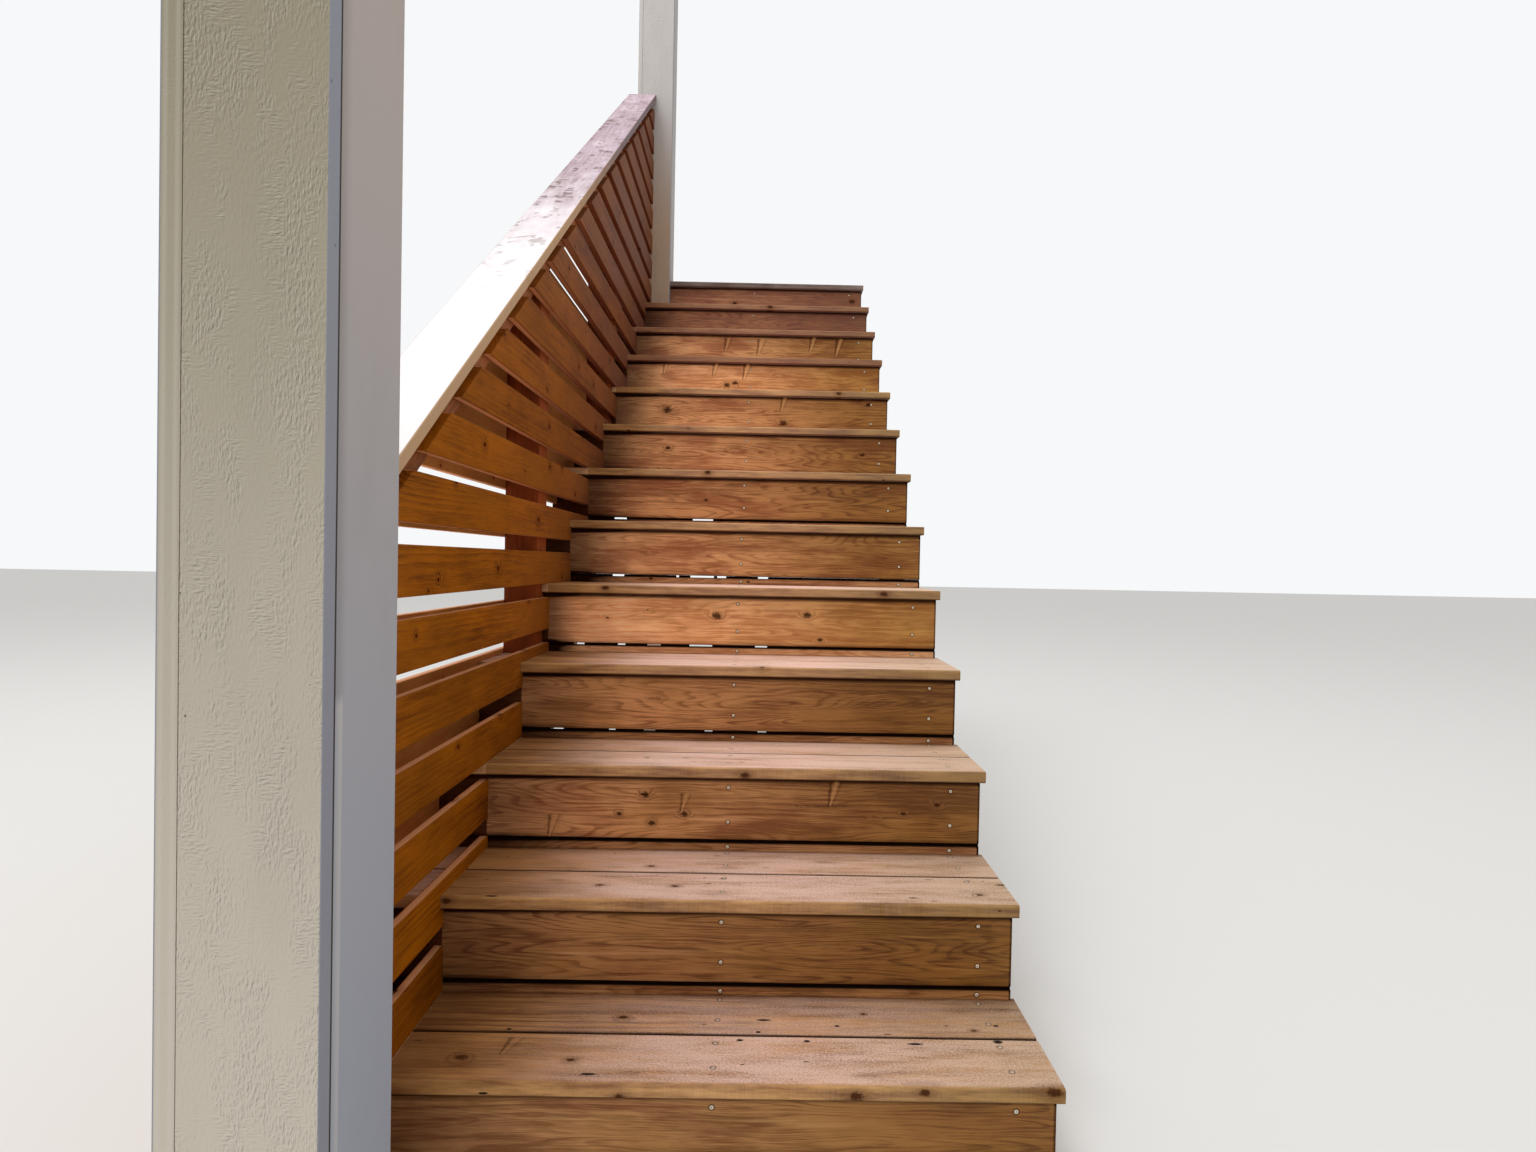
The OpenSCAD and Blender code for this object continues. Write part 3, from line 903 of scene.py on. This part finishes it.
def set_screws(name, places, steel):
    """One piece that holds every screw of a group. places are (point on the surface, outward normal)."""
    single = screw_mesh(f"{name}_single")
    form = bmesh.new()
    for point, outward in places:
        turn = Vector((0, 0, 1)).rotation_difference(Vector(outward)).to_matrix().to_4x4()
        before = len(form.verts)
        form.from_mesh(single)
        form.verts.ensure_lookup_table()
        bmesh.ops.transform(form, matrix=Matrix.Translation(point) @ turn, verts=form.verts[before:])
    mesh = bpy.data.meshes.new(name)
    form.to_mesh(mesh)
    form.free()
    bpy.data.meshes.remove(single)
    piece = add_object(name, mesh, steel)
    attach(piece, "root")
    return piece


def coated_steel(name, bright, dull_colour):
    material, tree, shader, (x, y, z) = new_material(name)
    dull = clouds(tree, x * 900.0, y * 900.0, z * 900.0)
    colour = mix(tree, dull, bright, dull_colour)
    tree.links.new(colour.socket, shader.inputs["Base Color"])
    tree.links.new((dull * 0.3 + 0.25).socket, shader.inputs["Roughness"])
    shader.inputs["Metallic"].default_value = 0.25
    return material


# Outward from a tread's top and from a riser's face
UP, FORWARD = (0, 0, 1), (0, -1, 0)


def tread_screw_places():
    """Two screws to a board over each stringer that takes them."""
    for step in range(1, TREADS + 1):
        front, top = tread_corner(step)
        for x in SCREWED:
            for board in (0, 1):
                for inset in TREAD_INSETS:
                    yield Vector((x, front + board * (BOARD_W + TREAD_GAP) + inset, top)), UP


def riser_screw_places():
    """Two screws to a riser board and one to a strip, over the same stringers."""
    for step in range(1, TREADS + 2):
        face, foot, top = riser_corner(step)
        for x in SCREWED:
            yield Vector((x, face, foot + STRIP_H / 2)), FORWARD
            for inset in RISER_INSETS:
                yield Vector((x, face, top - inset)), FORWARD


clean_steel = coated_steel("screw_steel", srgb(255, 246, 228), srgb(206, 190, 160))
trodden_steel = coated_steel("trodden_screw_steel", srgb(240, 224, 202), srgb(150, 122, 96))
set_screws("tread_screws", tread_screw_places(), trodden_steel)
set_screws("riser_screws", riser_screw_places(), clean_steel)


# Litter, near black, which also stands in for the shade inside the gaps

LITTER_DEPTH = 0.015
LITTER_STEP = 0.005
# Where the gap under a riser board is still open, metres from the middle stringer
OPEN_SPOTS = {3: ((-0.461, -0.441), (-0.392, -0.373), (-0.342, -0.337)),
              4: ((-0.462, -0.427), (-0.314, -0.296), (-0.226, -0.196), (-0.072, -0.052), (0.062, 0.084)),
              5: ((-0.462, -0.431), (-0.338, -0.316), (-0.255, -0.216), (-0.136, -0.071), (0.05, 0.084)),
              6: ((-0.401, -0.364), (-0.202, -0.193), (-0.158, -0.084), (-0.074, -0.046), (0.054, 0.085)),
              7: ((-0.443, -0.4), (-0.175, -0.105))}


def litter_runs(step):
    """The stretches of a gap that are packed, from the treads' left end to their right end."""
    ends = [riser_low[0]] + [x for spot in OPEN_SPOTS.get(step, ()) for x in spot] + [riser_high[0]]
    return zip(ends[::2], ends[1::2])


def litter_outline(x, face, foot):
    """The bar's section at x, lumpy in front and behind: y, and share of the gap's height."""
    lump = noise.noise(Vector((x * 60.0, face * 9.0, foot * 9.0)))
    lump += noise.noise(Vector((x * 210.0, 0.0, face)))
    near = face + 0.0045 + 0.0015 * lump
    far = face + LITTER_DEPTH - 0.001 * lump
    return ((near + 0.001, 0.0), (near, 0.35), (near + 0.0006, 0.7), (near + 0.0016, 1.0),
            (far, 1.0), (far, 0.0))


def litter_row(form, low_x, high_x, face, foot):
    """One packed stretch: a bar that fills the gap's height, set back from the boards' face."""
    count = max(2, round((high_x - low_x) / LITTER_STEP))
    rows = []
    for k in range(count + 1):
        x = low_x + (high_x - low_x) * k / count
        outline = litter_outline(x, face, foot)
        rows.append([form.verts.new((x, y, foot + RISER_GAP * share)) for y, share in outline])
    for first, second in zip(rows, rows[1:]):
        for k in range(len(first)):
            form.faces.new((first[k - 1], first[k], second[k], second[k - 1]))
    form.faces.new(rows[0])
    form.faces.new(list(reversed(rows[-1])))


def gap_litter_and_shade():
    form = bmesh.new()
    for step in range(1, TREADS + 2):
        face, foot, _ = riser_corner(step)
        for low_x, high_x in litter_runs(step):
            litter_row(form, low_x, high_x, face, foot + STRIP_H)
    bmesh.ops.recalc_face_normals(form, faces=form.faces)
    mesh = bpy.data.meshes.new("gap_litter_and_shade")
    form.to_mesh(mesh)
    form.free()
    piece = add_object("gap_litter_and_shade", mesh, litter_and_shade_paint())
    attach(piece, "root")


def litter_and_shade_paint():
    material, tree, shader, (x, y, z) = new_material("litter_and_shade_paint")
    needles = clouds(tree, x * 120.0, y * 600.0, z * 600.0, 3.0, 0.7)
    # Near black: the litter's colour together with the painted shade inside the gaps
    colour = mix(tree, needles.ramp(0.6, 0.75), srgb(26, 14, 9), srgb(78, 50, 30))
    tree.links.new(colour.socket, shader.inputs["Base Color"])
    shader.inputs["Roughness"].default_value = 0.95
    shader.inputs["Specular IOR Level"].default_value = 0.0
    bump(tree, shader, needles, 0.001)
    return material


gap_litter_and_shade()


# Floor, light and camera

def stage_floor(half):
    mesh = bpy.data.meshes.new("floor")
    corners = (-half, -half, 0), (half, -half, 0), (half, half, 0), (-half, half, 0)
    mesh.from_pydata(corners, [], [(0, 1, 2, 3)])
    material, _, shader, _ = new_material("floor_paint")
    shader.inputs["Base Color"].default_value = (0.78, 0.78, 0.77, 1.0)
    shader.inputs["Roughness"].default_value = 0.9
    floor = add_object("floor", mesh, material)
    floor.location.z = cad_box[0][2]


def world_light(strength):
    """Even white light. What the camera and the gloss see of it is a pale backdrop."""
    world = bpy.data.worlds.new("studio")
    bpy.context.scene.world = world
    world.use_nodes = True
    tree = world.node_tree
    lamp = tree.nodes["Background"]
    lamp.inputs["Color"].default_value = (1.0, 0.985, 0.965, 1.0)
    lamp.inputs["Strength"].default_value = strength
    seen = tree.nodes.new("ShaderNodeBackground")
    seen.inputs["Color"].default_value = (0.93, 0.94, 0.95, 1.0)
    path = tree.nodes.new("ShaderNodeLightPath")
    camera_ray, glossy_ray = (Term(tree, path.outputs[f"Is {kind} Ray"]) for kind in ("Camera", "Glossy"))
    either = camera_ray.calc("MAXIMUM", glossy_ray)
    choice = tree.nodes.new("ShaderNodeMixShader")
    tree.links.new(either.socket, choice.inputs[0])
    tree.links.new(lamp.outputs[0], choice.inputs[1])
    tree.links.new(seen.outputs[0], choice.inputs[2])
    tree.links.new(choice.outputs[0], tree.nodes["World Output"].inputs["Surface"])


def soft_lamp(name, at, aim, size, power):
    lamp = bpy.data.lights.new(name, "AREA")
    lamp.size = size
    lamp.energy = power
    rig = bpy.data.objects.new(name, lamp)
    bpy.context.scene.collection.objects.link(rig)
    rig.location = at
    rig.rotation_euler = (Vector(aim) - Vector(at)).to_track_quat("-Z", "Y").to_euler()


def set_camera():
    """Stands where the photograph was taken; its place and turn were worked out from the steps' edges."""
    focal_px, photo_w, sensor = 834.4, 1536, 36.0
    at = Vector((0.0633, -1.3584, 1.0223))
    yaw, pitch, roll = -0.0083, -0.0158, 0.0196
    data = bpy.data.cameras.new("camera")
    data.sensor_fit = "HORIZONTAL"
    data.sensor_width = sensor
    data.lens = sensor * focal_px / photo_w
    data.clip_start = 0.02
    camera = bpy.data.objects.new("camera", data)
    bpy.context.scene.collection.objects.link(camera)
    camera.matrix_world = (Matrix.Translation(at) @ Matrix.Rotation(yaw, 4, "Z")
                           @ Matrix.Rotation(math.pi / 2 + pitch, 4, "X") @ Matrix.Rotation(roll, 4, "Z"))
    bpy.context.scene.camera = camera


stage_floor(40.0)
world_light(0.72)
soft_lamp("key", (-2.2, 0.0, 9.5), (0.0, 1.4, 1.2), 5.0, 400.0)
set_camera()
bpy.context.scene.view_settings.view_transform = "Standard"
